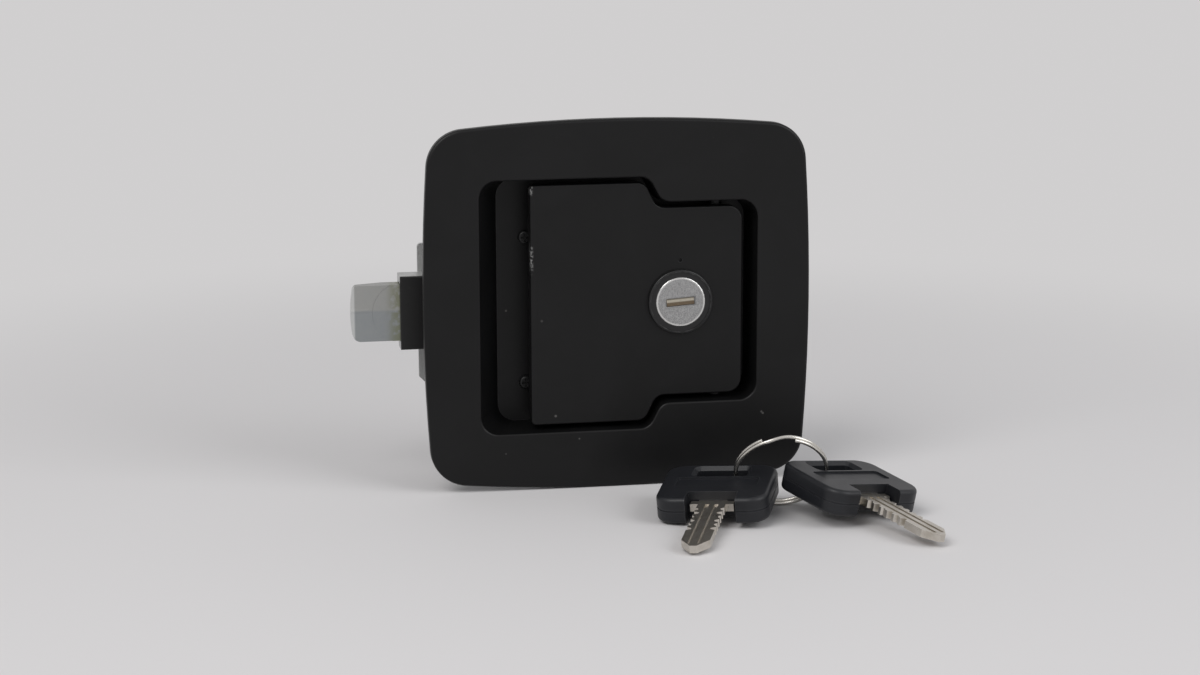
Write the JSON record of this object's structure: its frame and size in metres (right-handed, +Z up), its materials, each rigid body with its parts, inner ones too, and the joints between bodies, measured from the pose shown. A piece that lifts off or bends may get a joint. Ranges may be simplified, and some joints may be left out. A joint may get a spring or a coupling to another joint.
{
  "type": "paddle latch",
  "caption": "Flush T-paddle slam latch with a finger pan, key lock in the paddle, rocker-driven spring bolt at the left, and keys on a split ring.",
  "frame": {"origin": "centre of the flange's flat rear face, which lies against the door skin", "axes": "+X to the right seen from the front (the bolt leaves towards -X), +Y into the door, +Z up"},
  "size_m": [0.1624, 0.1121, 0.1152],
  "materials": {
    "black_coat": "satin black powder coat on die-cast zinc",
    "black_cover": "black painted sheet steel",
    "zinc_steel": "zinc-plated sheet steel",
    "zinc_bolt": "zinc-plated bolt, lightly greased",
    "bright_steel": "bright zinc-plated fasteners",
    "spring_steel": "oiled spring steel",
    "lock_zinc": "black coated lock housing",
    "lock_metal": "die-cast zinc",
    "cap_metal": "grained bright pressed cap",
    "shutter": "dull plated brass",
    "wafer_brass": "plain brass",
    "key_plastic": "satin moulded plastic",
    "key_nickel": "nickel-plated brass",
    "ring_nickel": "nickel-plated spring wire"
  },
  "bodies": {
    "frame": {"bezel_pan": "black_coat", "paddle_pin": "bright_steel", "pin_clips": "spring_steel", "latch_case": "zinc_steel", "back_plate": "zinc_steel", "plate_rivets": "bright_steel", "case_screws": "bright_steel", "snout_cover": "black_cover", "cover_rivets": "black_cover", "spring_rod": "bright_steel", "rocker_pivot": "bright_steel", "bolt_spring": "spring_steel"},
    "paddle": {"paddle": "black_coat", "paddle_spring": "spring_steel", "lock_housing": "lock_zinc", "lock_nut": "zinc_steel"},
    "lock_plug": {"lock_plug": "lock_metal", "plug_cap": "cap_metal", "keyway_shutter": "shutter", "lock_wafers": "wafer_brass", "lock_cam": "zinc_steel", "cam_screw": "bright_steel"},
    "bolt": {"bolt": "zinc_bolt", "bolt_slide": "zinc_steel", "slide_rivets": "bright_steel"},
    "rocker": {"rocker": "zinc_steel", "rocker_push_pin": "bright_steel", "rocker_drive_pin": "bright_steel"},
    "key_ring": {"split_ring": "ring_nickel"},
    "key_1": {"key_1_blade": "key_nickel", "key_1_bow": "key_plastic"},
    "key_2": {"key_2_blade": "key_nickel", "key_2_bow": "key_plastic"}
  },
  "joints": [
    {"name": "paddle_hinge", "type": "hinge", "parent": "frame", "child": "paddle", "pos_m": [0.032, 0.0055, 0], "axis": [0, 0, 1], "range_deg": [0, 38], "stiffness_Nm_per_rad": 0.5, "springref_deg": -17.19, "deforming": ["paddle_spring"]},
    {"name": "plug_turn", "type": "hinge", "parent": "paddle", "child": "lock_plug", "pos_m": [0.01965, 0, 0], "axis": [0, 1, 0], "range_deg": [0, 90]},
    {"name": "bolt_slide", "type": "slide", "parent": "frame", "child": "bolt", "axis": [1, 0, 0], "range_m": [0, 0.01365], "deforming": ["bolt_spring"]},
    {"name": "rocker_turn", "type": "hinge", "parent": "frame", "child": "rocker", "pos_m": [0.02615, 0.018, -0.0068], "axis": [0, 1, 0], "range_deg": [0, 33.6]},
    {"name": "key_ring_lift", "type": "slide", "parent": "frame", "child": "key_ring", "axis": [0, 0, 1], "range_m": [0, 0.05]},
    {"name": "key_1_round_ring", "type": "hinge", "parent": "key_ring", "child": "key_1", "pos_m": [0.04226, -0.04082, -0.04505], "axis": [0.1287, 0.8456, 0.518], "range_deg": [0, 30]},
    {"name": "key_2_round_ring", "type": "hinge", "parent": "key_ring", "child": "key_2", "pos_m": [0.04226, -0.04082, -0.04505], "axis": [-0.1287, -0.8456, -0.518], "range_deg": [0, 30]}
  ],
  "couplings": [
    {"joint": "bolt_slide", "follows": "paddle_hinge", "m_per_rad": 0.020506},
    {"joint": "rocker_turn", "follows": "paddle_hinge", "ratio": 0.88158}
  ]
}
